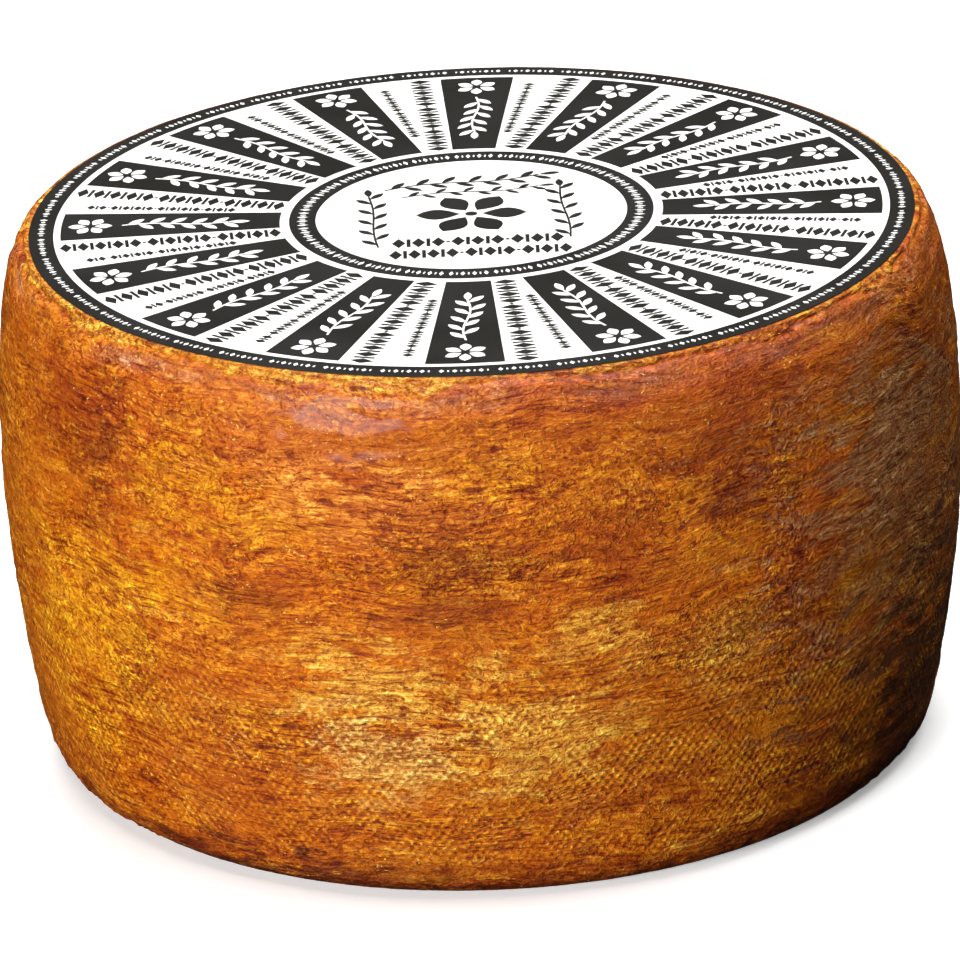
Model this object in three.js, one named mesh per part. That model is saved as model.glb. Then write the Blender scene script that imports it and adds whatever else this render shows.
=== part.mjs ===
// A wheel of washed-rind mountain cheese with a round paper label on its top face.
// Millimetres, +Z up. The origin is the middle of the flat base that the wheel rests on.

import * as THREE from 'three';

// Wheel
const wheelDiameter = 253.2; // across the belly, the widest level
const wheelHeight = 141.3; // from the base to the flat top
const bellyHeight = 82.5; // of the widest level above the base
const sideArcRadius = 361; // of the bulge of the side, seen in section
const topShoulderHeight = 29.6; // of the rounding between the side and the top
const topShoulderInset = 11.0; // from the belly in to the edge of the flat top
const baseShoulderHeight = 9.2; // of the rounding between the base and the side
const baseShoulderInset = 16.0; // from the belly in to the edge of the flat base

// Label
const labelThickness = 0.3;
const labelMargin = 0.6; // of bare rind on the flat top around the label

// Smoothness
const turnSegments = 72;
const curveDivisions = 5;

const bellyRadius = wheelDiameter / 2;
const topRadius = bellyRadius - topShoulderInset;
const baseRadius = bellyRadius - baseShoulderInset;
const labelRadius = topRadius - labelMargin;

// The side is one arc whose centre lies level with the belly. These give a point of it by its
// height, and the point at another height on the tangent there.
const sideArcCentre = bellyRadius - sideArcRadius;

function sideAngle(height) {
  return Math.asin((height - bellyHeight) / sideArcRadius);
}

function sideRadius(height) {
  return sideArcCentre + sideArcRadius * Math.cos(sideAngle(height));
}

function tangentRadius(height, atHeight) {
  return sideRadius(height) - (atHeight - height) * Math.tan(sideAngle(height));
}

// Half section of the wheel, from the middle of the base round to the middle of the top.
function wheelSection() {
  const baseShoulderTop = baseShoulderHeight;
  const topShoulderStart = wheelHeight - topShoulderHeight;
  const section = new THREE.Path();
  section.moveTo(0, 0);
  section.lineTo(baseRadius, 0);
  section.quadraticCurveTo(
    tangentRadius(baseShoulderTop, 0), 0,
    sideRadius(baseShoulderTop), baseShoulderTop,
  );
  section.absarc(
    sideArcCentre, bellyHeight, sideArcRadius,
    sideAngle(baseShoulderTop), sideAngle(topShoulderStart), false,
  );
  section.quadraticCurveTo(
    tangentRadius(topShoulderStart, wheelHeight), wheelHeight,
    topRadius, wheelHeight,
  );
  section.lineTo(0, wheelHeight);
  return section;
}

// Half section of the label, a plain disc with its lower face on z = 0.
function labelSection() {
  const section = new THREE.Path();
  section.moveTo(0, 0);
  section.lineTo(labelRadius, 0);
  section.lineTo(labelRadius, labelThickness);
  section.lineTo(0, labelThickness);
  return section;
}

// Turns a half section once round the Z axis.
function turned(name, section, colour, roughness) {
  const geometry = new THREE.LatheGeometry(section.getPoints(curveDivisions), turnSegments);
  geometry.rotateX(Math.PI / 2);
  const material = new THREE.MeshStandardMaterial({ color: colour, roughness, metalness: 0 });
  const mesh = new THREE.Mesh(geometry, material);
  mesh.name = name;
  return mesh;
}

const cheeseWheel = turned('cheese_wheel', wheelSection(), 0xc07522, 0.45);

const paperLabel = turned('paper_label', labelSection(), 0xf4f3ee, 0.6);
paperLabel.position.z = wheelHeight;

const part = new THREE.Group();
part.add(cheeseWheel, paperLabel);

export default part;
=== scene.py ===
"""A wheel of washed-rind mountain cheese with a round printed label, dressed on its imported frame."""

import logging
import math
from dataclasses import dataclass, field
from enum import Enum
from functools import reduce
from typing import Sequence

import bpy
import numpy as np
from mathutils import Euler, Matrix, Vector


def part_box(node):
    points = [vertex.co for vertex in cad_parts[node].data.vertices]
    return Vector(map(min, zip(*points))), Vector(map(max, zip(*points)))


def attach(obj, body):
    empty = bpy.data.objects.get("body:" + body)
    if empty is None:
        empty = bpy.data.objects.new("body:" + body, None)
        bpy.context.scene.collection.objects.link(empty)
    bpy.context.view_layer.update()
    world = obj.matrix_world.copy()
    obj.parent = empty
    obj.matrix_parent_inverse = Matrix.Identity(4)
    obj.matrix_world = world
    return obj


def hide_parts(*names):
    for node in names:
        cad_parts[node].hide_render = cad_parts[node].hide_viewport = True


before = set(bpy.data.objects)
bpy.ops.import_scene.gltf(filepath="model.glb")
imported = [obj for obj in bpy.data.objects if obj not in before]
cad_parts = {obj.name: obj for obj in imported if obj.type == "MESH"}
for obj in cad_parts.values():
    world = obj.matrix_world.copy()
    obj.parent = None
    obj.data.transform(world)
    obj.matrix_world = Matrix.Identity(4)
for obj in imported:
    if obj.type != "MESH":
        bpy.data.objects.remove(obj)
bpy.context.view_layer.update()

LOG = logging.getLogger("cheese_wheel")
MM = 0.001
BODY = "root"
WHEEL_NODE = "cheese_wheel"
LABEL_NODE = "paper_label"

Socket = bpy.types.NodeSocket
Value = float | int | bool | Sequence[float] | Socket
Point = tuple[float, float]
Outline = list[Point]
Colour = tuple[float, float, float, float]


# ---------------------------------------------------------------- colours


def linear(code: int) -> Colour:
    """Turns a display colour into linear light.

    Args:
        code: the colour as 0xRRGGBB.

    Returns:
        Linear red, green and blue, with an alpha of 1.
    """
    parts = [(code >> shift & 255) / 255 for shift in (16, 8, 0)]
    light = [p / 12.92 if p <= 0.04045 else ((p + 0.055) / 1.055) ** 2.4 for p in parts]
    return light[0], light[1], light[2], 1.0


class Tint(Enum):
    """Colours of the rind and the label in white light; the rind also uses some of them for painted
    shade, painted glints and a painted sheen.
    """

    HONEY = 0xEC900E
    GOLD = 0xE48C0C
    OCHRE = 0xD8740E
    ORANGE = 0xCC6006
    TAN = 0xEC9A2E
    SAND = 0xEEA650
    PEACH = 0xD97624
    RUST = 0xAC4408
    BRICK = 0x862C04
    UMBER = 0x602808
    MAUVE = 0xA46044
    SHEEN_MAUVE = 0xB8804C
    BARK = 0x2C170C
    WHEAT = 0xF8B432
    CREAM = 0xFFD468
    PAPER = 0xF6F5F1
    INK = 0x1B1A17
    OLD_PAPER = 0xEFEDE6
    FIBRE = 0xE8E6DF
    THIN_WHITE = 0xE6E4DD
    THIN_INK = 0x35332E
    FLOOR = 0xFBFBFA
    DULL_FLOOR = 0xF6F6F5

    @property
    def rgba(self) -> Colour:
        """The tint in linear light."""
        return linear(self.value)


# ---------------------------------------------------------------- node trees


@dataclass(frozen=True)
class Grain:
    """Smooth noise that is stretched along the axes."""

    stretch: tuple[float, float, float]  # mm, the length of one lump along X, Y and Z
    detail: float = 2.0  # how many finer layers it has
    roughness: float = 0.5  # how strong the finer layers are
    shift: float = 0.0  # moves the pattern, so that two noises differ
    twist: float = 0.0  # how much its lumps curl


@dataclass(frozen=True)
class Ramp:
    """A smooth step that turns a level into another number."""

    low: float  # the level where it starts, which may be the larger one
    high: float  # the level where it ends
    at_low: float = 0.0
    at_high: float = 1.0


SPREAD = Ramp(0.3, 0.7)  # spreads smooth noise over nearly all numbers from 0 to 1


class Graph:
    """Short calls that add nodes to one shader or geometry tree."""

    def __init__(self, tree: bpy.types.NodeTree) -> None:
        """Keeps the tree that the nodes go into."""
        self.tree = tree

    def feed(self, socket: Socket, value: Value) -> None:
        """Links or sets a socket.

        Args:
            socket: the input socket.
            value: the socket that it is linked to, or the value that it takes.
        """
        if isinstance(value, bpy.types.NodeSocket):
            self.tree.links.new(value, socket)
        else:
            socket.default_value = value

    def node(
        self, kind: str, inputs: dict[str | int, Value] | None = None, **settings: object
    ) -> bpy.types.Node:
        """Adds one node.

        Args:
            kind: the node's type name.
            inputs: what goes into its sockets, by name or place.
            settings: the node's own properties, set before its sockets.

        Returns:
            The new node.
        """
        node = self.tree.nodes.new(kind)
        for name, setting in settings.items():
            setattr(node, name, setting)
        for key, value in (inputs or {}).items():
            self.feed(node.inputs[key], value)
        return node

    def math(self, operation: str, *values: Value, clamp: bool = False) -> Socket:
        """Adds a math node on one to three numbers and returns its result."""
        inputs = dict(enumerate(values))
        return self.node("ShaderNodeMath", inputs, operation=operation, use_clamp=clamp).outputs[0]

    def add(self, *values: Value) -> Socket:
        """Adds up any number of numbers."""
        return reduce(lambda total, value: self.math("ADD", total, value), values)

    def times(self, *values: Value) -> Socket:
        """Multiplies any number of numbers."""
        return reduce(lambda product, value: self.math("MULTIPLY", product, value), values)

    def vector(self, operation: str, *values: Value) -> Socket:
        """Adds a vector math node on one to three vectors and returns its vector."""
        inputs = dict(enumerate(values))
        return self.node("ShaderNodeVectorMath", inputs, operation=operation).outputs[0]

    def length(self, vector: Socket) -> Socket:
        """Gives the length of a vector."""
        return self.node("ShaderNodeVectorMath", {0: vector}, operation="LENGTH").outputs["Value"]

    def axes(self, vector: Socket) -> tuple[Socket, Socket, Socket]:
        """Splits a vector into its X, Y and Z."""
        split = self.node("ShaderNodeSeparateXYZ", {0: vector})
        return split.outputs[0], split.outputs[1], split.outputs[2]

    def eased(self, level: Socket, ramp: Ramp) -> Socket:
        """Puts a level through a smooth step.

        Args:
            level: the level.
            ramp: the step.

        Returns:
            The number that the step gives.
        """
        inputs = {"Value": level, "From Min": ramp.low, "From Max": ramp.high}
        inputs.update({"To Min": ramp.at_low, "To Max": ramp.at_high})
        return self.node("ShaderNodeMapRange", inputs, interpolation_type="SMOOTHSTEP").outputs[0]

    def noise(self, place: Socket, grain: Grain) -> Socket:
        """Adds smooth noise.

        Args:
            place: the place, in millimetres.
            grain: how the noise is stretched and layered.

        Returns:
            A number from 0 to 1, mostly near a half.
        """
        finer = tuple(1 / length for length in grain.stretch)
        moved = self.vector("MULTIPLY_ADD", place, finer, (grain.shift,) * 3)
        inputs = {"Vector": moved, "Scale": 1.0, "Detail": grain.detail, "Roughness": grain.roughness}
        return self.node("ShaderNodeTexNoise", {**inputs, "Distortion": grain.twist}).outputs[0]

    def bend(self, place: Socket, scale: float, reach: float) -> Socket:
        """Moves the place about gently, so that straight marks wander.

        Args:
            place: the place, in millimetres.
            scale: of the bends, in lumps to a millimetre.
            reach: how far they go from one side to the other, in millimetres.

        Returns:
            The moved place.
        """
        lumps = self.node("ShaderNodeTexNoise", {"Vector": place, "Scale": scale, "Detail": 2.0})
        offset = self.vector("SUBTRACT", lumps.outputs["Color"], (0.5,) * 3)
        return self.vector("MULTIPLY_ADD", offset, (reach,) * 3, place)

    def mix(self, factor: Value, first: Value, second: Value, blend: str = "MIX") -> Socket:
        """Mixes two colours and returns the mixed colour."""
        inputs = {0: factor, 6: first, 7: second}
        return self.node("ShaderNodeMix", inputs, data_type="RGBA", blend_type=blend).outputs[2]


class Material:
    """A new material with an empty node graph and a Principled surface."""

    def __init__(self, name: str) -> None:
        """Makes the material and the two nodes that each finish needs.

        Args:
            name: the material's name.
        """
        self.data = bpy.data.materials.new(name)
        self.data.use_nodes = True
        self.data.node_tree.nodes.clear()
        self.graph = Graph(self.data.node_tree)
        self.surface = self.graph.node("ShaderNodeBsdfPrincipled")
        output = self.graph.node("ShaderNodeOutputMaterial")
        self.graph.feed(output.inputs["Surface"], self.surface.outputs[0])

    def place(self) -> Socket:
        """The place on the object, in millimetres."""
        spot = self.graph.node("ShaderNodeTexCoord").outputs["Object"]
        return self.graph.vector("MULTIPLY", spot, (1 / MM,) * 3)

    def set(self, **inputs: Value) -> None:
        """Sets or links inputs of the surface, with _ for each space in a name."""
        for name, value in inputs.items():
            self.graph.feed(self.surface.inputs[name.replace("_", " ")], value)

    def bump(self, height: Socket) -> None:
        """Raises the surface by a height in millimetres."""
        inputs = {"Height": self.graph.times(height, MM), "Distance": 1.0, "Strength": 1.0}
        self.set(Normal=self.graph.node("ShaderNodeBump", inputs).outputs[0])


class NodeGroup(Graph):
    """A geometry tree with one geometry in and out and named sizes."""

    def __init__(self, name: str, sizes: dict[str, float]) -> None:
        """Makes the tree, which also has an input for a material.

        Args:
            name: the tree's name.
            sizes: its number inputs by name, with their first values.
        """
        super().__init__(bpy.data.node_groups.new(name, "GeometryNodeTree"))
        face = self.tree.interface
        face.new_socket(name="Geometry", in_out="INPUT", socket_type="NodeSocketGeometry")
        for size, value in sizes.items():
            socket = face.new_socket(name=size, in_out="INPUT", socket_type="NodeSocketFloat")
            socket.default_value = value
        face.new_socket(name="Material", in_out="INPUT", socket_type="NodeSocketMaterial")
        face.new_socket(name="Geometry", in_out="OUTPUT", socket_type="NodeSocketGeometry")
        self.given = self.node("NodeGroupInput").outputs
        self.result = self.node("NodeGroupOutput").inputs

    def stored(self, geometry: Socket, name: str, value: Socket) -> Socket:
        """Stores a number at each point of the geometry.

        Args:
            geometry: the geometry.
            name: the attribute's name.
            value: the number.

        Returns:
            The geometry with the attribute.
        """
        inputs = {"Geometry": geometry, "Name": name, "Value": value}
        kind = "GeometryNodeStoreNamedAttribute"
        return self.node(kind, inputs, data_type="FLOAT", domain="POINT").outputs[0]

    def end(self, geometry: Socket) -> None:
        """Ends the tree in plain geometry with its material.

        Args:
            geometry: what the tree has made.
        """
        plain = self.node("GeometryNodeRealizeInstances", {0: geometry}).outputs[0]
        inputs = {"Geometry": plain, "Material": self.given["Material"]}
        self.feed(self.result[0], self.node("GeometryNodeSetMaterial", inputs).outputs[0])


def grown(obj: bpy.types.Object, group: NodeGroup, values: dict[str, object]) -> bpy.types.Object:
    """Runs a geometry tree on an object and leaves the result as its plain mesh.

    Args:
        obj: the object that the tree starts from.
        group: the tree.
        values: the tree's inputs by name.

    Returns:
        The same object.
    """
    modifier = obj.modifiers.new(group.tree.name, "NODES")
    modifier.node_group = group.tree
    for item in group.tree.interface.items_tree:
        if item.in_out == "INPUT" and item.name in values:
            modifier[item.identifier] = values[item.name]
    bpy.context.view_layer.update()
    seen = obj.evaluated_get(bpy.context.evaluated_depsgraph_get())
    mesh = bpy.data.meshes.new_from_object(seen)
    obj.modifiers.remove(modifier)
    obj.data = mesh
    mesh.name = obj.name
    return obj


def linked(name: str, mesh: bpy.types.Mesh) -> bpy.types.Object:
    """Puts a mesh into the scene.

    Args:
        name: the name that the mesh and its object get.
        mesh: the mesh.

    Returns:
        The new object.
    """
    mesh.name = name
    obj = bpy.data.objects.new(name, mesh)
    bpy.context.scene.collection.objects.link(obj)
    return obj


# ---------------------------------------------------------------- rind


@dataclass(frozen=True)
class Patch:
    """A soft-edged place on the side of the wheel."""

    turn: float  # degrees round from the front, positive to the right
    height: float  # mm above the base
    width: float  # mm
    tall: float  # mm
    strength: float


@dataclass(frozen=True)
class StainAndPaintedLight(Patch):
    """A patch of colour: most are stains of the rind, and a few are painted shade and painted sheen."""

    tint: Tint


# Patches of colour on the side, mostly stains of the rind; towards the right edge some are painted shade
# and on the upper right some are a painted sheen, as marked below.
STAINS_AND_PAINTED_LIGHT = (
    StainAndPaintedLight(-54, 116, 46, 42, 0.75, Tint.BRICK),
    StainAndPaintedLight(-52, 93, 22, 16, 0.7, Tint.RUST),
    StainAndPaintedLight(-64, 112, 44, 26, 0.4, Tint.RUST),
    StainAndPaintedLight(-70, 80, 30, 60, 0.6, Tint.OCHRE),
    StainAndPaintedLight(-36, 112, 34, 34, 0.6, Tint.GOLD),
    StainAndPaintedLight(-38, 82, 30, 20, 0.4, Tint.GOLD),
    StainAndPaintedLight(-24, 104, 30, 14, 0.4, Tint.GOLD),
    StainAndPaintedLight(-1, 123, 54, 20, 0.45, Tint.HONEY),
    StainAndPaintedLight(-20, 122, 62, 18, 0.7, Tint.PEACH),
    StainAndPaintedLight(-14, 110, 56, 20, 0.5, Tint.PEACH),
    StainAndPaintedLight(-6, 106, 34, 12, 0.65, Tint.RUST),
    StainAndPaintedLight(16, 122, 50, 20, 0.6, Tint.OCHRE),
    StainAndPaintedLight(30, 117, 36, 34, 0.55, Tint.RUST),
    StainAndPaintedLight(-55, 62, 54, 62, 0.7, Tint.HONEY),
    StainAndPaintedLight(-27, 84, 28, 12, 0.6, Tint.BRICK),
    StainAndPaintedLight(-36, 34, 52, 42, 0.3, Tint.RUST),
    StainAndPaintedLight(-18, 88, 36, 14, 0.6, Tint.ORANGE),
    StainAndPaintedLight(2, 97, 56, 14, 0.55, Tint.BRICK),
    StainAndPaintedLight(-4, 83, 34, 9, 0.55, Tint.BRICK),
    StainAndPaintedLight(16, 98, 40, 22, 0.65, Tint.RUST),
    StainAndPaintedLight(-12, 60, 56, 24, 0.85, Tint.TAN),
    StainAndPaintedLight(4, 48, 60, 30, 0.85, Tint.TAN),
    StainAndPaintedLight(-8, 38, 60, 18, 0.7, Tint.TAN),
    StainAndPaintedLight(12, 73, 30, 14, 0.6, Tint.TAN),
    StainAndPaintedLight(28, 66, 24, 26, 0.5, Tint.TAN),
    StainAndPaintedLight(27, 84, 26, 40, 0.6, Tint.OCHRE),
    StainAndPaintedLight(22, 26, 46, 14, 0.4, Tint.RUST),
    StainAndPaintedLight(41, 90, 28, 110, 0.6, Tint.RUST),
    StainAndPaintedLight(28, 110, 30, 28, 0.5, Tint.BRICK),
    # Lighter greyish mauve on the upper right: partly the rind's colour, partly a painted sheen.
    StainAndPaintedLight(60, 86, 100, 110, 0.4, Tint.SHEEN_MAUVE),
    # Darker on the lower right: partly darker rind, partly painted shade on the side that turns away
    # from the key lamp.
    StainAndPaintedLight(68, 16, 90, 80, 0.72, Tint.UMBER),
    # Painted shade: a near-black band towards the right edge, where the side turns away from the light.
    StainAndPaintedLight(83, 44, 64, 100, 0.42, Tint.BARK),
    StainAndPaintedLight(-13, 42, 46, 26, 0.4, Tint.SAND),
    StainAndPaintedLight(-8, 22, 36, 16, 0.55, Tint.ORANGE),
    StainAndPaintedLight(19, 55, 40, 18, 0.3, Tint.ORANGE),
    StainAndPaintedLight(28, 104, 30, 18, 0.45, Tint.BRICK),
    StainAndPaintedLight(-21, 133, 18, 4, 0.9, Tint.MAUVE),
    # Darker along the foot at the front, down to the base.
    StainAndPaintedLight(-34, 0, 80, 19, 0.95, Tint.BARK),
    StainAndPaintedLight(-10, 0, 50, 10, 0.8, Tint.UMBER),
    StainAndPaintedLight(12, 0, 60, 10, 0.8, Tint.BRICK),
    # Lighter greyish mauve on the upper right: partly the rind's colour, partly a painted sheen.
    StainAndPaintedLight(58, 108, 56, 56, 0.45, Tint.SHEEN_MAUVE),
    StainAndPaintedLight(-62, 139, 150, 15, 0.6, Tint.GOLD),
    StainAndPaintedLight(24, 137, 100, 16, 0.75, Tint.RUST),
    StainAndPaintedLight(-100, 66, 60, 60, 0.5, Tint.ORANGE),
    StainAndPaintedLight(110, 60, 60, 60, 0.5, Tint.OCHRE),
    StainAndPaintedLight(128, 104, 70, 30, 0.7, Tint.BRICK),
    StainAndPaintedLight(155, 66, 56, 40, 0.7, Tint.TAN),
    StainAndPaintedLight(188, 92, 60, 36, 0.7, Tint.BRICK),
    StainAndPaintedLight(206, 50, 70, 36, 0.6, Tint.GOLD),
    StainAndPaintedLight(234, 96, 56, 44, 0.8, Tint.RUST),
    StainAndPaintedLight(225, 122, 60, 16, 0.6, Tint.PEACH),
)

SHADE = (0.45, 0.245, 0.25, 1.0)  # painted shade in the hollows of the fine marks, partly also a thick dark smear: what is left of the colour under it
GLOW = (1.46, 2.2, 3.15, 1.0)  # painted highlight on the crests of the fine marks, partly also a thin dried smear: how much brighter the colour gets
SCURF = (
    Patch(36, 84, 12, 66, 1.0),
    Patch(26, 68, 30, 14, 0.8),
    Patch(-4, 94, 46, 10, 0.7),
    Patch(12, 106, 30, 12, 0.6),
    Patch(-50, 100, 12, 30, 0.6),
    Patch(-46, 60, 14, 36, 0.7),
    Patch(-20, 46, 40, 16, 0.5),
    Patch(75, 60, 20, 60, 0.7),
    Patch(140, 84, 40, 24, 0.8),
    Patch(172, 50, 20, 50, 0.7),
    Patch(214, 90, 46, 20, 0.8),
    Patch(250, 60, 20, 60, 0.7),
)


@dataclass(frozen=True)
class SmearAndPaintedLight:
    """How a fine mark changes the colour under it: painted shade in its hollows and painted highlight on
    its crests, partly also the smear's own colour.
    """

    start: float  # the mark's level where the change begins
    full: float  # the level where it is full
    share: float  # how much of the change there is at most
    change: Colour  # what the colour is multiplied by


@dataclass(frozen=True)
class Marks:
    """The fine marks on the rind, each a number at every place."""

    streak: Socket  # of the brush, along the side
    wrinkle: Socket  # of the dried skin
    flake: Socket  # of the smear
    drawn: Socket  # how strong the streaks are
    flaky: Socket  # how strong the wrinkles and flakes are
    scurf: Socket  # how rough the dried smear is
    scurf_crumb: Socket
    cloth: Socket
    crust: Socket  # how much of the golden crust there is
    crust_crumb: Socket
    hollow: Socket  # how deep the crease under the crust is


@dataclass(frozen=True)
class RindFinish:
    """Moist washed rind: ochre to rust, streaked by the brush and printed by the cheese cloth."""

    radius: float  # mm, of the belly
    height: float  # mm, of the wheel
    thread: float = 2.5  # mm, the pitch of the cloth print
    thread_rise: float = 1.3  # how much taller than wide its meshes are
    cloth_start: Ramp = Ramp(1, 17)  # mm above the base
    cloth_end: Ramp = Ramp(46, 86, 1.0, 0.0)  # mm above the base
    rim_rust: Ramp = Ramp(112, 128, 0.0, 0.5)  # mm above the base
    foot_brick: Ramp = Ramp(15, 3, 0.0, 0.7)  # mm above the base
    streak_depth: float = 0.5  # mm, as are the next five
    wrinkle_depth: float = 0.8
    flake_depth: float = 0.9
    cloth_depth: float = 0.2
    scurf_depth: float = 1.0
    crust_depth: float = 1.8
    swirl: tuple[float, float] = (0.022, 12.0)  # the scale and reach that bend the long marks
    sag: tuple[float, float] = (0.12, 1.3)  # the scale and reach that bend the cloth's threads
    broad: Grain = Grain((60, 60, 24), 4, 0.6, 21)
    broad_ochre: Ramp = Ramp(0.36, 0.64)  # of the broad noise, as is the next
    broad_gilt: Ramp = Ramp(0.4, 0.58)
    bands: Grain = Grain((24, 24, 5), 5, 0.7, 51, 0.3)
    rust_bands: Ramp = Ramp(0.5, 0.34, 0.0, 0.7)
    tan_bands: Ramp = Ramp(0.54, 0.68, 0.0, 0.6)
    blush_bands: Ramp = Ramp(0.4, 0.6)
    edges: Grain = Grain((15, 15, 6), 5, 0.72, 41, 0.4)  # of the stains and of the patches of painted shade and sheen
    edge_wander: Ramp = Ramp(0.25, 0.75, -0.95, 0.95)  # as a share of a patch's half size
    level_wander: float = 7  # mm, how far the rim's rust and the foot's brick wander
    scurf_edges: Grain = Grain((6, 6, 5), 4, 0.7, 97, 0.5)
    scurf_wander: Ramp = Ramp(0.3, 0.7, -0.9, 0.9)
    patch_fade: tuple[float, float] = (0.5, 1.2)  # where a patch fades, in half sizes
    blush_share: float = 0.6  # of the rosy colour in the crease
    gilt_share: float = 0.5  # of the golden colour on the crust
    gilt_high: tuple[float, float] = (0.5, 0.7)  # where it starts and is full, as shares of the height
    streak: Grain = Grain((8.5, 8.5, 0.9), 3, 0.62, 7, 0.5)
    wrinkle: Grain = Grain((2.2, 2.2, 1.5), 3, 0.72, 17, 1.3)
    flake: Grain = Grain((5.2, 5.2, 2.4), 4, 0.66, 81, 0.7)
    drawn: Grain = Grain((34, 34, 15), 3, 0.6, 73)
    drawn_share: Ramp = Ramp(0.42, 0.6, 0.3, 1.0)
    flaky: Grain = Grain((38, 38, 20), 3, 0.6, 75)
    flaky_share: Ramp = Ramp(0.4, 0.6, 0.6, 1.0)
    scurf_crumb: Grain = Grain((2.0, 2.0, 1.6), 4, 0.7, 27, 0.8)
    crust_crumb: Grain = Grain((2.6, 2.6, 1.8), 4, 0.74, 61, 0.9)
    cloth_patches: Grain = Grain((24, 24, 14), 3, 0.6, 11)
    cloth_here: Ramp = Ramp(0.34, 0.56)
    cloth_wear: Grain = Grain((2.4, 2.4, 2.4), 1, 0.5, 13)
    cloth_worn: Ramp = Ramp(0.3, 0.6, 0.2, 1.0)
    moisture: Grain = Grain((9, 9, 5), 3, 0.6, 3)
    roughness: Ramp = Ramp(0.3, 0.7, 0.42, 0.62)
    # Bright flecks and glints on the cloth print's crests are painted into the colour: the flecks partly
    # pale grains, partly painted glints.
    fleck: Grain = Grain((0.95, 0.95, 0.7), 1, 0.5, 91)
    fleck_here: Ramp = Ramp(0.66, 0.75)
    groups: Grain = Grain((11, 11, 8), 3, 0.6, 93)
    group_share: Ramp = Ramp(0.48, 0.64, 0.08, 0.8)
    knob: Grain = Grain((3, 3, 3), 1, 0.5, 95)
    knob_here: Ramp = Ramp(0.5, 0.62)
    knob_top: Ramp = Ramp(0.45, 0.8)  # of the cloth print's height, where the painted glints start and are full
    knob_glint_share: float = 0.8

    def material(self) -> bpy.types.Material:
        """Makes the rind material.

        Returns:
            The material, which also reads the crust and hollow attributes of the rind's mesh.
        """
        made = Material("rind")
        graph = made.graph
        place = made.place()
        swirl = graph.bend(place, *self.swirl)
        marks = Marks(
            streak=graph.noise(swirl, self.streak),
            wrinkle=graph.noise(swirl, self.wrinkle),
            flake=graph.noise(swirl, self.flake),
            drawn=graph.eased(graph.noise(swirl, self.drawn), self.drawn_share),
            flaky=graph.eased(graph.noise(swirl, self.flaky), self.flaky_share),
            scurf=self._scurf(graph, place),
            scurf_crumb=graph.noise(place, self.scurf_crumb),
            cloth=self._cloth(graph, place),
            crust=graph.node("ShaderNodeAttribute", attribute_name="crust").outputs["Fac"],
            crust_crumb=graph.noise(place, self.crust_crumb),
            hollow=graph.node("ShaderNodeAttribute", attribute_name="hollow").outputs["Fac"],
        )
        height = graph.add(
            graph.times(marks.streak, self.streak_depth),
            graph.times(marks.wrinkle, self.wrinkle_depth),
            graph.times(marks.flake, self.flake_depth),
            graph.times(marks.cloth, self.cloth_depth),
            graph.times(marks.scurf, marks.scurf_crumb, self.scurf_depth),
            graph.times(marks.crust, marks.crust_crumb, self.crust_depth),
        )
        colour = self._fine_colour(graph, marks, self._broad_colour(graph, place, swirl, marks))
        rough = graph.eased(graph.noise(place, self.moisture), self.roughness)
        made.set(Base_Color=self._flecked_and_glinting(graph, place, marks, colour), Roughness=rough)
        made.set(IOR=1.45, Specular_IOR_Level=0.25, Coat_Weight=0.15, Coat_Roughness=0.13)
        made.bump(height)
        return made.data

    def _scurf(self, graph: Graph, place: Socket) -> Socket:
        """Marks the dried, crumbling smear.

        Args:
            graph: the material's graph.
            place: the place, in millimetres.

        Returns:
            How much of it there is.
        """
        edge = graph.eased(graph.noise(place, self.scurf_edges), self.scurf_wander)
        patches = (self._patch(graph, place, edge, patch) for patch in SCURF)
        return reduce(lambda most, patch: graph.math("MAXIMUM", most, patch), patches)

    def _cloth(self, graph: Graph, place: Socket) -> Socket:
        """Prints a plain weave, in staggered dimples round the lower part of the side.

        Args:
            graph: the material's graph.
            place: the place, in millimetres.

        Returns:
            The print's height, from -1 to 1.
        """
        x, y, z = graph.axes(graph.bend(place, *self.sag))
        threads = round(math.tau * self.radius / self.thread)
        turn = graph.times(graph.math("ARCTAN2", y, x), float(threads))
        rise = graph.times(z, math.tau / (self.thread_rise * self.thread))
        weave = graph.times(graph.math("SINE", turn), graph.math("SINE", rise))
        level = graph.times(graph.eased(z, self.cloth_start), graph.eased(z, self.cloth_end))
        here = graph.eased(graph.noise(place, self.cloth_patches), self.cloth_here)
        worn = graph.eased(graph.noise(place, self.cloth_wear), self.cloth_worn)
        return graph.times(weave, level, here, worn)

    def _patch(self, graph: Graph, place: Socket, edge: Socket, patch: Patch) -> Socket:
        """Marks a patch.

        Args:
            graph: the material's graph.
            place: the place, in millimetres.
            edge: how far the patch's edge wanders, as a share of its size.
            patch: the patch.

        Returns:
            How much of it there is.
        """
        turn = math.radians(patch.turn)
        middle = (self.radius * math.sin(turn), -self.radius * math.cos(turn), patch.height)
        away = graph.vector("SUBTRACT", place, middle)
        size = (2 / patch.width, 2 / patch.width, 2 / patch.tall)
        far = graph.add(graph.length(graph.vector("MULTIPLY", away, size)), edge)
        return graph.eased(far, Ramp(*self.patch_fade, patch.strength, 0.0))

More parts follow.
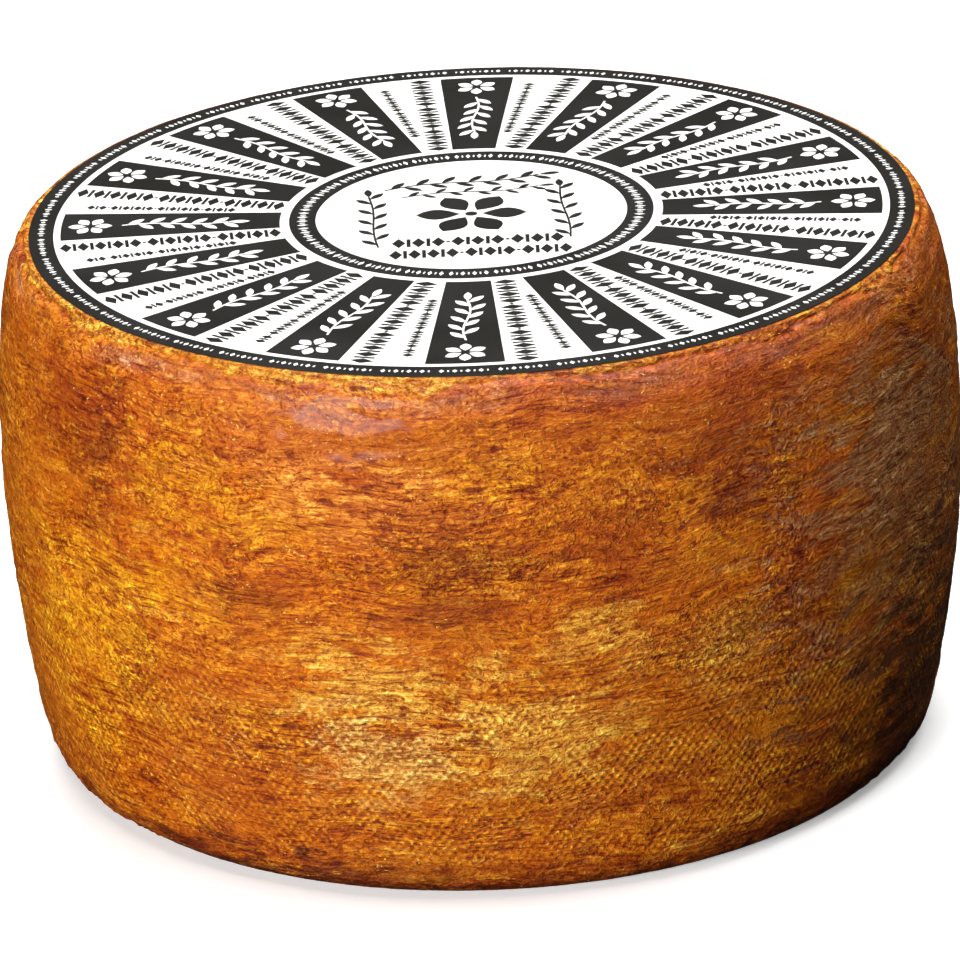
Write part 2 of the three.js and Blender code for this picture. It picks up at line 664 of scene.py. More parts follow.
    def _broad_colour(self, graph: Graph, place: Socket, swirl: Socket, marks: Marks) -> Socket:
        """Layers the rind's larger areas of colour, among them painted shade towards the right edge and
        a painted sheen on the upper right.

        Args:
            graph: the material's graph.
            place: the place, in millimetres.
            swirl: the place, bent for long marks.
            marks: the fine marks.

        Returns:
            The colour.
        """
        broad = graph.noise(swirl, self.broad)
        colour = graph.mix(graph.eased(broad, self.broad_ochre), Tint.ORANGE.rgba, Tint.OCHRE.rgba)
        bands = graph.noise(swirl, self.bands)
        colour = graph.mix(graph.eased(bands, self.rust_bands), colour, Tint.RUST.rgba)
        colour = graph.mix(graph.eased(bands, self.tan_bands), colour, Tint.TAN.rgba)
        edge = graph.eased(graph.noise(swirl, self.edges), self.edge_wander)
        # Stains, and the patches of painted shade and painted sheen.
        for tinted_patch in STAINS_AND_PAINTED_LIGHT:
            colour = graph.mix(self._patch(graph, place, edge, tinted_patch), colour, tinted_patch.tint.rgba)
        level = graph.axes(place)[2]
        ragged = graph.add(level, graph.times(edge, self.level_wander))
        colour = graph.mix(graph.eased(ragged, self.rim_rust), colour, Tint.RUST.rgba)
        colour = graph.mix(graph.eased(ragged, self.foot_brick), colour, Tint.BRICK.rgba)
        blush = graph.mix(graph.eased(bands, self.blush_bands), Tint.MAUVE.rgba, Tint.PEACH.rgba)
        colour = graph.mix(graph.times(marks.hollow, self.blush_share), colour, blush)
        gilt = graph.mix(graph.eased(broad, self.broad_gilt), Tint.OCHRE.rgba, Tint.TAN.rgba)
        high = graph.eased(level, Ramp(*(share * self.height for share in self.gilt_high)))
        return graph.mix(graph.times(marks.crust, high, self.gilt_share), colour, gilt)

    def _fine_colour(self, graph: Graph, marks: Marks, colour: Socket) -> Socket:
        """Darkens the rind's colour in the hollows of its fine marks and brightens it on their crests:
        painted shade and painted highlights, partly also the smear's own colour.

        Args:
            graph: the material's graph.
            marks: the fine marks.
            colour: the broad colour.

        Returns:
            The colour.
        """
        # Each mark is darker where it is low and brighter where it is high, as the bump is: painted
        # shade in the hollows and painted highlights on the crests, partly also the smear's own colour.
        smears = (
            (marks.crust_crumb, marks.crust, SmearAndPaintedLight(0.47, 0.36, 1.0, SHADE)),
            (marks.crust_crumb, marks.crust, SmearAndPaintedLight(0.5, 0.62, 1.0, GLOW)),
            (marks.flake, marks.flaky, SmearAndPaintedLight(0.48, 0.36, 0.6, SHADE)),
            (marks.flake, marks.flaky, SmearAndPaintedLight(0.53, 0.65, 0.45, GLOW)),
            (marks.wrinkle, marks.flaky, SmearAndPaintedLight(0.49, 0.38, 1.0, SHADE)),
            (marks.wrinkle, marks.flaky, SmearAndPaintedLight(0.52, 0.64, 0.9, GLOW)),
            (marks.streak, marks.drawn, SmearAndPaintedLight(0.48, 0.36, 1.0, SHADE)),
            (marks.streak, marks.drawn, SmearAndPaintedLight(0.52, 0.64, 0.7, GLOW)),
            (marks.cloth, 1.0, SmearAndPaintedLight(-0.15, -0.8, 0.5, SHADE)),
            (marks.cloth, 1.0, SmearAndPaintedLight(-0.05, 0.7, 0.55, GLOW)),
            (marks.scurf_crumb, marks.scurf, SmearAndPaintedLight(0.5, 0.4, 1.0, SHADE)),
            (marks.scurf_crumb, marks.scurf, SmearAndPaintedLight(0.5, 0.62, 1.0, GLOW)),
        )
        for mark, strength, smear in smears:
            much = graph.eased(mark, Ramp(smear.start, smear.full, 0.0, smear.share))
            colour = graph.mix(graph.times(much, strength), colour, smear.change, "MULTIPLY")
        return colour

    def _flecked_and_glinting(self, graph: Graph, place: Socket, marks: Marks, colour: Socket) -> Socket:
        """Adds bright flecks, partly pale grains and partly painted glints, and paints glints on the
        crests of the cloth print here and there.

        Args:
            graph: the material's graph.
            place: the place, in millimetres.
            marks: the fine marks.
            colour: the colour so far.

        Returns:
            The colour.
        """
        flecks = graph.eased(graph.noise(place, self.fleck), self.fleck_here)
        groups = graph.eased(graph.noise(place, self.groups), self.group_share)
        here = graph.eased(graph.noise(place, self.knob), self.knob_here)
        # Painted glints on the highest parts of the cloth print.
        knob_glints = graph.times(graph.eased(marks.cloth, self.knob_top), here, groups, self.knob_glint_share)
        bright = graph.math("MAXIMUM", graph.times(flecks, groups), knob_glints)
        return graph.mix(bright, colour, Tint.CREAM.rgba)


@dataclass
class CheeseWheel:
    """The wheel of cheese: a turned section whose skin is pitted, creased and crusted."""

    belly_height: float = 82.5 * MM  # where the wheel is widest
    side_arc: float = 361 * MM  # the radius of the side's arc
    top_shoulder: float = 29.6 * MM  # how tall the rounding at the top is
    top_inset: float = 11.0 * MM  # from the belly's radius to the flat top's
    base_shoulder: float = 9.2 * MM  # how tall the rounding at the base is
    base_inset: float = 16.0 * MM
    columns: int = 600  # the mesh's columns round the wheel
    base_rows: int = 12
    foot_rows: int = 10
    side_rows: int = 78
    shoulder_rows: int = 28
    top_rows: int = 6
    skin_gap: float = 0.1 * MM  # the least depth of the skin below the turned section
    slow_dents: float = 0.8 * MM  # the depth of the broad dents
    lumps: float = 0.4 * MM  # the depth between the lumps
    wash_ridges: float = 0.3 * MM  # the depth between the ridges that run round the side
    crust: float = 1.0 * MM  # the depth between the crumbs round the top edge
    crust_height: float = 2.0 * MM
    crease: float = 0.5 * MM  # the depth of the crease under the crust
    crease_drop: float = 5.0 * MM  # from the top down to the crease
    foot_crust: float = 0.7 * MM  # the depth between the crumbs round the foot
    dent_grain: Grain = Grain((70, 70, 50))
    lump_grain: Grain = Grain((14, 14, 9), 3, 0.55, 5)
    ridge_grain: Grain = Grain((28, 28, 3.4), 3, 0.6, 9)
    edge_grain: Grain = Grain((24, 24, 60), 3, 0.6, 13)  # of the crust's lower edge
    edge_wander: Ramp = Ramp(0.3, 0.7, -1.9, 1.9)  # mm, as are the next two levels
    foot_fade: Ramp = Ramp(3, 13, 1.0, 0.0)  # up from the base
    crease_fade: Ramp = Ramp(0.6, 4, 1.0, 0.0)  # up and down from the middle of the crease
    crease_here: Ramp = Ramp(0.3, 0.55)
    crust_fade: Ramp = Ramp(0.0, 0.45)  # of the share of the crust's height that is left
    level_fade: Ramp = Ramp(0.93, 0.995, 1.0, 0.08)  # keeps the flat top and underside flat
    lump_spread: Ramp = Ramp(0.25, 0.75)
    crumb_grain: Grain = Grain((3.2, 3.2, 2.6), 3, 0.65, 17)
    crease_grain: Grain = Grain((20, 20, 30), 3, 0.6, 23)  # of where there is a crease
    strips: int = 4  # the side's strips in the flat map
    map_size: float = 400 * MM  # the width of the flat map at the side's scale
    radius: float = field(init=False)  # of the belly, from the frame
    height: float = field(init=False)

    def build(self) -> bpy.types.Object:
        """Builds the rind and puts it in the place of the plain wheel.

        Returns:
            The finished piece.
        """
        low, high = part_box(WHEEL_NODE)
        self.radius = high.x
        self.height = high.z - low.z
        finish = RindFinish(self.radius / MM, self.height / MM)
        wheel = linked("wheel_rind", self._turned_mesh())
        inputs = {"Material": finish.material(), **self._relief_sizes()}
        wheel = grown(wheel, self._relief_tree(), inputs)
        wheel.data.polygons.foreach_set("use_smooth", [True] * len(wheel.data.polygons))
        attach(wheel, BODY)
        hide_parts(WHEEL_NODE)
        return wheel

    def _side_angle(self, height: float) -> float:
        """The angle on the side's arc at a height."""
        return math.asin((height - self.belly_height) / self.side_arc)

    def _side_radius(self, height: float) -> float:
        """The radius of the side at a height."""
        return self.radius - self.side_arc * (1 - math.cos(self._side_angle(height)))

    def _tangent_radius(self, height: float, at_height: float) -> float:
        """The radius, at another height, of the line that touches the side at a height."""
        return self._side_radius(height) - (at_height - height) * math.tan(self._side_angle(height))

    def _section(self) -> tuple[np.ndarray, int, int]:
        """Gives the half section as rows of radius and height.

        Returns:
            The rows from the base's middle to the top's middle, without the two middle points
            themselves, and the numbers of the rows where the foot starts and the shoulder ends.
        """
        top_radius = self.radius - self.top_inset
        base_radius = self.radius - self.base_inset
        shoulder_start = self.height - self.top_shoulder
        base = [(base_radius * (k + 1) / self.base_rows, 0.0) for k in range(self.base_rows)]
        foot = bezier(
            (base_radius, 0.0),
            (self._tangent_radius(self.base_shoulder, 0.0), 0.0),
            (self._side_radius(self.base_shoulder), self.base_shoulder),
            self.foot_rows,
        )
        heights = np.linspace(self.base_shoulder, shoulder_start, self.side_rows + 1)[1:]
        side = [(self._side_radius(h), h) for h in heights]
        shoulder = bezier(
            (self._side_radius(shoulder_start), shoulder_start),
            (self._tangent_radius(shoulder_start, self.height), self.height),
            (top_radius, self.height),
            self.shoulder_rows,
        )
        top = [(top_radius * (1 - k / self.top_rows), self.height) for k in range(1, self.top_rows)]
        rows = np.array(base + foot + side + shoulder + top)
        foot_start = self.base_rows - 1
        shoulder_end = foot_start + self.foot_rows + self.side_rows + self.shoulder_rows
        return rows, foot_start, shoulder_end

    def _turned_mesh(self) -> bpy.types.Mesh:
        """Turns the section into a closed mesh.

        Returns:
            The mesh, with a flat map for the whole skin.
        """
        rows, foot_start, shoulder_end = self._section()
        count, columns = len(rows), self.columns
        turn = np.arange(columns) * math.tau / columns
        ring = np.stack([np.sin(turn), -np.cos(turn)], axis=1)
        spots = np.empty((count, columns, 3))
        spots[:, :, :2] = rows[:, None, :1] * ring[None]
        spots[:, :, 2] = rows[:, None, 1]
        corners = np.concatenate([spots.reshape(-1, 3), [(0, 0, 0), (0, 0, self.height)]])
        here = np.arange(columns)
        after = (here + 1) % columns
        faces: list[Sequence[int]] = []
        for row in range(count - 1):
            start, above = row * columns, (row + 1) * columns
            quads = np.stack([start + here, start + after, above + after, above + here], axis=1)
            faces.extend(quads.tolist())
        bottom, top, last = count * columns, count * columns + 1, (count - 1) * columns
        faces.extend(np.stack([np.full(columns, bottom), after, here], axis=1).tolist())
        faces.extend(np.stack([np.full(columns, top), last + here, last + after], axis=1).tolist())
        mesh = bpy.data.meshes.new("wheel_rind")
        mesh.from_pydata(corners.tolist(), [], faces)
        self._lay_flat(mesh, rows, foot_start, shoulder_end)
        return mesh

    def _lay_flat(
        self, mesh: bpy.types.Mesh, rows: np.ndarray, foot_start: int, shoulder_end: int
    ) -> None:
        """Gives the mesh a flat map: the side in strips at full scale, and two small discs.

        Args:
            mesh: the turned mesh, whose quads come first, row by row.
            rows: the section.
            foot_start: the row where the side's strips start.
            shoulder_end: the row where they end.
        """
        along = np.concatenate([[0], np.cumsum(np.hypot(*np.diff(rows, axis=0).T))])
        tall = along[shoulder_end] - along[foot_start]
        strip_width = math.tau * self.radius / self.strips
        gap = (self.map_size / 2 - strip_width) / 2
        disc = (self.map_size - 2 * tall - 4 * gap) / 2
        per_strip = self.columns // self.strips
        flat = []
        for row in range(len(rows) - 1):
            for column in range(self.columns):
                if foot_start <= row < shoulder_end:
                    strip = column // per_strip
                    left = (strip % 2) * self.map_size / 2 + gap
                    floor = (strip // 2) * (tall + gap) + gap
                    x0 = left + (column % per_strip) * strip_width / per_strip
                    x1 = x0 + strip_width / per_strip
                    y0 = floor + along[row] - along[foot_start]
                    y1 = floor + along[row + 1] - along[foot_start]
                    flat += [(x0, y0), (x1, y0), (x1, y1), (x0, y1)]
                else:
                    under = row < foot_start
                    corners = ((row, 0), (row, 1), (row + 1, 1), (row + 1, 0))
                    flat += [self._on_disc(rows[r, 0], column + c, under, disc) for r, c in corners]
        for under, r in ((True, 0), (False, len(rows) - 1)):
            for column in range(self.columns):
                pair = (column + 1, column) if under else (column, column + 1)
                flat.append(self._on_disc(0.0, column, under, disc))
                flat += [self._on_disc(rows[r, 0], c, under, disc) for c in pair]
        layer = mesh.uv_layers.new(name="OFBake")
        layer.data.foreach_set("uv", (np.array(flat) / self.map_size).ravel())

    def _on_disc(self, radius: float, column: int, under: bool, disc: float) -> Point:
        """Gives the place of a point of the underside or the top on the flat map.

        Args:
            radius: how far the point is from the axis.
            column: which of the mesh's columns it is in.
            under: whether it is on the underside.
            disc: the radius on the map of a disc as wide as the belly.

        Returns:
            The place.
        """
        scale = disc / self.radius
        turn = column * math.tau / self.columns
        middle = self.map_size * (0.25 if under else 0.75)
        across = radius * scale * math.sin(turn)
        return middle + across, self.map_size - disc - radius * scale * math.cos(turn)

    def _relief_sizes(self) -> dict[str, float]:
        """Gives the relief tree's inputs.

        Returns:
            The sizes by the tree's names for them, in millimetres.
        """
        sizes = {
            "Skin Gap": self.skin_gap,
            "Slow Dents": self.slow_dents,
            "Lumps": self.lumps,
            "Wash Ridges": self.wash_ridges,
            "Crust": self.crust,
            "Crust Height": self.crust_height,
            "Crease": self.crease,
            "Crease Drop": self.crease_drop,
            "Foot Crust": self.foot_crust,
            "Wheel Height": self.height,
        }
        return {name: size / MM for name, size in sizes.items()}

    def _relief_tree(self) -> NodeGroup:
        """Makes the tree that sinks the skin into its relief and marks crust and hollows.

        Returns:
            The tree.
        """
        group = NodeGroup("Rind Relief", self._relief_sizes())
        given = group.given
        spot = group.node("GeometryNodeInputPosition").outputs[0]
        place = group.vector("MULTIPLY", spot, (1 / MM,) * 3)
        height = group.axes(place)[2]
        drop = group.math("SUBTRACT", given["Wheel Height"], height)
        ragged = group.eased(group.noise(place, self.edge_grain), self.edge_wander)
        rim = self._rim(group, drop, ragged)
        foot = group.eased(height, self.foot_fade)
        crease = self._crease(group, place, drop, ragged)
        crumbs = group.eased(group.noise(place, self.crumb_grain), SPREAD)
        dents = group.eased(group.noise(place, self.dent_grain), SPREAD)
        lumps = group.eased(group.noise(place, self.lump_grain), self.lump_spread)
        ridges = group.eased(group.noise(place, self.ridge_grain), SPREAD)
        depth = group.add(
            given["Skin Gap"],
            group.times(dents, given["Slow Dents"]),
            group.times(lumps, given["Lumps"]),
            group.times(ridges, given["Wash Ridges"]),
            group.times(rim, crumbs, given["Crust"]),
            group.times(foot, crumbs, given["Foot Crust"]),
            group.times(crease, given["Crease"]),
        )
        crust = group.math("MAXIMUM", rim, group.times(foot, 0.4))
        marked = group.stored(self._sunk(group, depth), "crust", crust)
        group.end(group.stored(marked, "hollow", crease))
        return group

    def _rim(self, group: NodeGroup, drop: Socket, ragged: Socket) -> Socket:
        """Marks the crust round the top edge.

        Args:
            group: the relief tree.
            drop: how far the skin is below the top, in millimetres.
            ragged: how far the crust's lower edge wanders, in millimetres.

        Returns:
            How much of it there is.
        """
        share = group.math("DIVIDE", group.add(drop, ragged), group.given["Crust Height"], clamp=True)
        return group.eased(group.math("SUBTRACT", 1.0, share, clamp=True), self.crust_fade)

    def _crease(self, group: NodeGroup, place: Socket, drop: Socket, ragged: Socket) -> Socket:
        """Marks the shallow crease under the crust, which comes and goes.

        Args:
            group: the relief tree.
            place: the place, in millimetres.
            drop: how far it is below the top, in millimetres.
            ragged: how far the crust's lower edge wanders, in millimetres.

        Returns:
            How deep it is, as a share.
        """
        wandering = group.add(drop, group.times(ragged, 0.8))
        away = group.math("ABSOLUTE", group.math("SUBTRACT", wandering, group.given["Crease Drop"]))
        here = group.eased(group.noise(place, self.crease_grain), self.crease_here)
        return group.times(group.eased(away, self.crease_fade), here)

    def _sunk(self, group: NodeGroup, depth: Socket) -> Socket:
        """Sinks the skin, and hardly at all on the flat top and underside.

        Args:
            group: the relief tree.
            depth: how deep, in millimetres.

        Returns:
            The sunk geometry.
        """
        normal = group.node("GeometryNodeInputNormal").outputs[0]
        level = group.math("ABSOLUTE", group.axes(normal)[2])
        offset = group.times(depth, group.eased(level, self.level_fade), -MM)
        move = group.node("ShaderNodeVectorMath", {0: normal, 3: offset}, operation="SCALE").outputs[0]
        inputs = {"Geometry": group.given["Geometry"], "Offset": move}
        return group.node("GeometryNodeSetPosition", inputs).outputs[0]


def bezier(start: Point, control: Point, finish: Point, steps: int) -> list[Point]:
    """Gives points on a quadratic curve.

    Args:
        start: its first point, which is left out of the result.
        control: the point that its ends aim at.
        finish: its last point.
        steps: how many points to give.

    Returns:
        The points in order, ending with finish.
    """
    points = []
    for step in range(1, steps + 1):
        t = step / steps
        pairs = tuple(zip(((1 - t) ** 2, 2 * t * (1 - t), t * t), (start, control, finish)))
        points.append((sum(w * p[0] for w, p in pairs), sum(w * p[1] for w, p in pairs)))
    return points


# ---------------------------------------------------------------- label


@dataclass(frozen=True)
class PaperFinish:
    """Smooth white label paper, dark on its cut edge, where the ring's ink runs over."""

    radius: float  # mm, of the label
    fibre: Grain = Grain((1.4, 0.5, 1), 4, 0.6)
    fibre_depth: float = 0.012  # mm
    fibre_share: Ramp = Ramp(0.3, 0.8, 0.0, 0.2)
    roughness: Ramp = Ramp(0.2, 0.8, 0.5, 0.66)
    cloud: Grain = Grain((40, 40, 40), 3, 0.5, 3)
    cloud_share: Ramp = Ramp(0.3, 0.7, 0.0, 0.35)
    cut: tuple[float, float] = (0.4, 0.2)  # mm in from the rim, where the ink starts and is full

    def material(self) -> bpy.types.Material:
        """Makes the paper material.

        Returns:
            The material.
        """
        made = Material("label_paper")
        graph = made.graph
        place = made.place()
        fibre = graph.noise(place, self.fibre)
        cloud = graph.eased(graph.noise(place, self.cloud), self.cloud_share)
        tone = graph.mix(cloud, Tint.PAPER.rgba, Tint.OLD_PAPER.rgba)
        colour = graph.mix(graph.eased(fibre, self.fibre_share), tone, Tint.FIBRE.rgba)
        from_axis = graph.length(graph.vector("MULTIPLY", place, (1, 1, 0)))
        cut = graph.eased(from_axis, Ramp(self.radius - self.cut[0], self.radius - self.cut[1]))
        rough = graph.eased(fibre, self.roughness)
        made.set(Base_Color=graph.mix(cut, colour, Tint.INK.rgba), Roughness=rough, IOR=1.46)
        made.bump(graph.times(fibre, self.fibre_depth))
        return made.data


@dataclass(frozen=True)
class PrintFinish:
    """Flat printing ink, slightly uneven where the paper's tooth takes less of it."""

    name: str
    tint: Tint
    thin_tint: Tint
    tooth: Grain = Grain((0.5, 0.5, 0.5), 3, 0.6)
    tooth_depth: float = 0.006  # mm
    thin_share: Ramp = Ramp(0.4, 0.8, 0.0, 0.25)
    cloud: Grain = Grain((22, 22, 22), 2, 0.5, 5)
    roughness: Ramp = Ramp(0.3, 0.7, 0.37, 0.5)

    def material(self) -> bpy.types.Material:
        """Makes the ink material.

        Returns:
            The material.
        """
        made = Material(self.name)
        graph = made.graph
        place = made.place()
        tooth = graph.noise(place, self.tooth)
        thin = graph.eased(tooth, self.thin_share)
        rough = graph.eased(graph.noise(place, self.cloud), self.roughness)
        made.set(Base_Color=graph.mix(thin, self.tint.rgba, self.thin_tint.rgba), Roughness=rough)
        made.set(IOR=1.46, Specular_IOR_Level=0.25)
        made.bump(graph.times(tooth, self.tooth_depth))
        return made.data


def polar(radius: float, turn: float) -> Point:
    """A point at a distance from the origin, with its turn in radians from X."""
    return radius * math.cos(turn), radius * math.sin(turn)


def placed(outline: Outline, at: Point, turn: float = 0.0, scale: float = 1.0) -> Outline:
    """Turns, scales and moves an outline.

    Args:
        outline: its points, anticlockwise.
        at: where its origin goes.
        turn: degrees anticlockwise.
        scale: how many times larger.

    Returns:
        The new outline.
    """
    cos, sin = math.cos(math.radians(turn)) * scale, math.sin(math.radians(turn)) * scale
    return [(at[0] + x * cos - y * sin, at[1] + x * sin + y * cos) for x, y in outline]


def lozenge(length: float, width: float) -> Outline:
    """A lozenge about the origin, long along X."""
    return [(length / 2, 0), (0, width / 2), (-length / 2, 0), (0, -width / 2)]


def dot(radius: float, corners: int = 10) -> Outline:
    """A round spot about the origin."""
    return [polar(radius, k * math.tau / corners) for k in range(corners)]


def bar(length: float, width: float) -> Outline:
    """A plain bar about the origin, long along X."""
    x, y = length / 2, width / 2
    return [(-x, -y), (x, -y), (x, y), (-x, y)]


def petal(length: float, width: float, start: float = 0.0, steps: int = 7) -> Outline:
    """A petal or leaf along X, pointed at both ends.

    Args:
        length: from tip to tip.
        width: at its widest, a little past the middle.
        start: where its first tip is.
        steps: how many steps each long edge has.

    Returns:
        The outline.
    """
    shape = [(k / steps, math.sin(math.pi * (k / steps) ** 1.15) ** 0.85) for k in range(1, steps)]
    lower = [(start + t * length, -w * width / 2) for t, w in shape]
    upper = [(start + t * length, w * width / 2) for t, w in reversed(shape)]
    return [(start, 0), *lower, (start + length, 0), *upper]


def flower(at: Point, size: float, petals: int = 6) -> list[Outline]:
    """A round flower of separate petals with an open middle."""
    leaf = petal(0.4 * size, 0.26 * size, 0.1 * size)
    return [placed(leaf, at, k * 360 / petals) for k in range(petals)]


def stroke(points: Sequence[Point], width: float) -> list[Outline]:
    """Draws a pen stroke.

    Args:
        points: the points that it goes through.
        width: how wide the pen is.

    Returns:
        Short quads, one from each point to the next.
    """
    spots = [Vector(p) for p in points]
    sides = []
    for k, spot in enumerate(spots):
        along = spots[min(k + 1, len(spots) - 1)] - spots[max(k - 1, 0)]
        across = Vector((-along.y, along.x)).normalized() * width / 2
        sides.append((tuple(spot - across), tuple(spot + across)))
    return [[a[0], b[0], b[1], a[1]] for a, b in zip(sides, sides[1:])]


@dataclass(frozen=True)
class Sprig:
    """A leafy stem between two points."""

    start: Point  # the foot of the stem
    finish: Point  # its tip, which carries the last leaf
    sway: float  # how far the stem swings to each side
    leaves: int  # how many pairs of leaves it has
    leaf: float  # the length of a leaf
    pen: float = 0.005  # the width of the stem
    leaf_lean: float = 42  # degrees between a leaf and the stem
    leaf_shape: float = 0.36  # a leaf's width as a share of its length

    def outlines(self) -> list[Outline]:
        """Draws the sprig.

        Returns:
            The outlines of the stem and its leaves.
        """
        foot, tip = Vector(self.start), Vector(self.finish)
        along = tip - foot
        swing = Vector((-along.y, along.x)).normalized() * self.sway
        steps = 4 * self.leaves
        path = [
            foot + along * step / steps + swing * math.sin(math.tau * step / steps)
            for step in range(steps + 1)
        ]
        outlines = stroke([tuple(p) for p in path], self.pen)
        lean = math.degrees(math.atan2(along.y, along.x))
        blade = petal(self.leaf, self.leaf_shape * self.leaf)
        for pair in range(self.leaves):
            low, high = path[4 * pair + 1], path[4 * pair + 3]
            outlines.append(placed(blade, tuple(low), lean + self.leaf_lean))
            outlines.append(placed(blade, tuple(high), lean - self.leaf_lean))
        return [*outlines, placed(blade, tuple(path[-1]), lean)]


@dataclass(frozen=True)
class Beads:
    """A row of lozenges, upright bars and dots between two points."""

    start: Point  # the middle of the first mark
    finish: Point  # the middle of the last one
    marks: int  # how many marks there are
    tall: float  # the width of the row
    dots: tuple[int, ...]  # the numbers of the marks that are small dots
    bar_shape: tuple[float, float] = (0.4, 0.85)  # in pitches along the row and in rows across it
    lozenge_length: float = 1.4  # in pitches, as is the next
    dot_radius: float = 0.22

    def outlines(self) -> list[Outline]:
        """Draws the row.

        Returns:
            An outline for each mark.
        """
        foot = Vector(self.start)
        step = (Vector(self.finish) - foot) / (self.marks - 1)
        lean = math.degrees(math.atan2(step.y, step.x))
        pitch = step.length
        outlines = []
        for mark in range(self.marks):
            spot = tuple(foot + step * mark)
            if mark in self.dots:
                outlines.append(placed(dot(self.dot_radius * pitch), spot))
            elif mark % 2:
                length, width = self.bar_shape
                outlines.append(placed(bar(length * pitch, width * self.tall), spot, lean))
            else:
                outlines.append(placed(lozenge(self.lozenge_length * pitch, self.tall), spot, lean))
        return outlines


@dataclass(frozen=True)
class Border:
    """Small lozenges and dashes in turn, in runs that go all round a ring."""

    runs: int  # how many runs make the ring
    radius: float
    tall: float  # the width of the row
    marks: int  # in one run
    pitch: float  # degrees from mark to mark

    def outlines(self) -> list[Outline]:
        """Draws one run.

        Returns:
            An outline for each mark.
        """
        wide = 0.55 * math.radians(self.pitch) * self.radius
        outlines = []
        for mark in range(self.marks):
            turn = (mark - (self.marks - 1) / 2) * self.pitch
            shape = bar(0.5 * self.tall, 0.5 * wide) if mark % 2 else lozenge(self.tall, 1.5 * wide)
            outlines.append(placed(shape, polar(self.radius, math.radians(turn)), turn))
        return outlines


class Ink(Enum):
    """The two prints on the label: what each is called and how high it stands on the paper."""

    DARK = ("label_dark_print", 0.04 * MM)
    LIGHT = ("label_light_print", 0.065 * MM)


